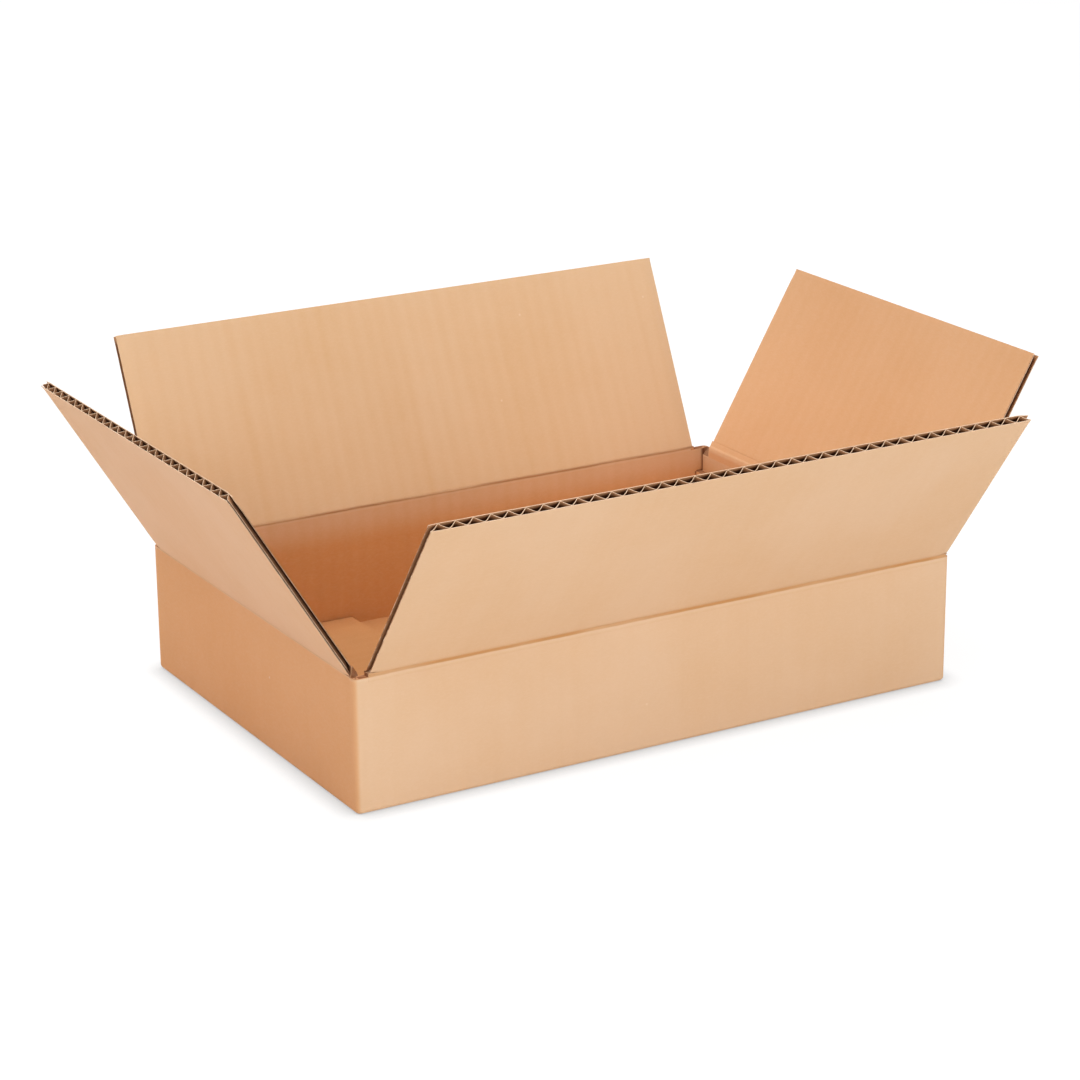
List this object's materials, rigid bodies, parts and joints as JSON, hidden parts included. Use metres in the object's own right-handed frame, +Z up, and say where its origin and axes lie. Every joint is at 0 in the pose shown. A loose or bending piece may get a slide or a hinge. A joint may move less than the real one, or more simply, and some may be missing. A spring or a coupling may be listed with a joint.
{
  "type": "shallow cardboard shipping box",
  "caption": "Shallow shipping box of plain brown corrugated board, with its top flaps standing open and its bottom flaps folded shut.",
  "frame": {"origin": "middle of the base, on the surface that the box stands on", "axes": "+X along the long walls, -Y to the front, +Z up"},
  "size_m": [0.4187, 0.3131, 0.1561],
  "materials": {
    "kraft_board": "matt brown kraft paper"
  },
  "bodies": {
    "box": {"box_body": "kraft_board"},
    "front_flap": {"front_flap": "kraft_board"},
    "back_flap": {"back_flap": "kraft_board"},
    "left_flap": {"left_flap": "kraft_board"},
    "right_flap": {"right_flap": "kraft_board"}
  },
  "joints": [
    {"name": "front_flap_crease", "type": "hinge", "parent": "box", "child": "front_flap", "pos_m": [0.0025, -0.1021, 0.0636], "axis": [-1, 0, 0], "range_deg": [-54, 126]},
    {"name": "back_flap_crease", "type": "hinge", "parent": "box", "child": "back_flap", "pos_m": [-0.0038, 0.1021, 0.0636], "axis": [1, 0, 0], "range_deg": [-65, 115]},
    {"name": "left_flap_crease", "type": "hinge", "parent": "box", "child": "left_flap", "pos_m": [-0.1559, 0, 0.0623], "axis": [0, 1, 0], "range_deg": [-58.5, 121.5]},
    {"name": "right_flap_crease", "type": "hinge", "parent": "box", "child": "right_flap", "pos_m": [0.1559, -0.00275, 0.0623], "axis": [0, -1, 0], "range_deg": [-59.5, 120.5]}
  ]
}
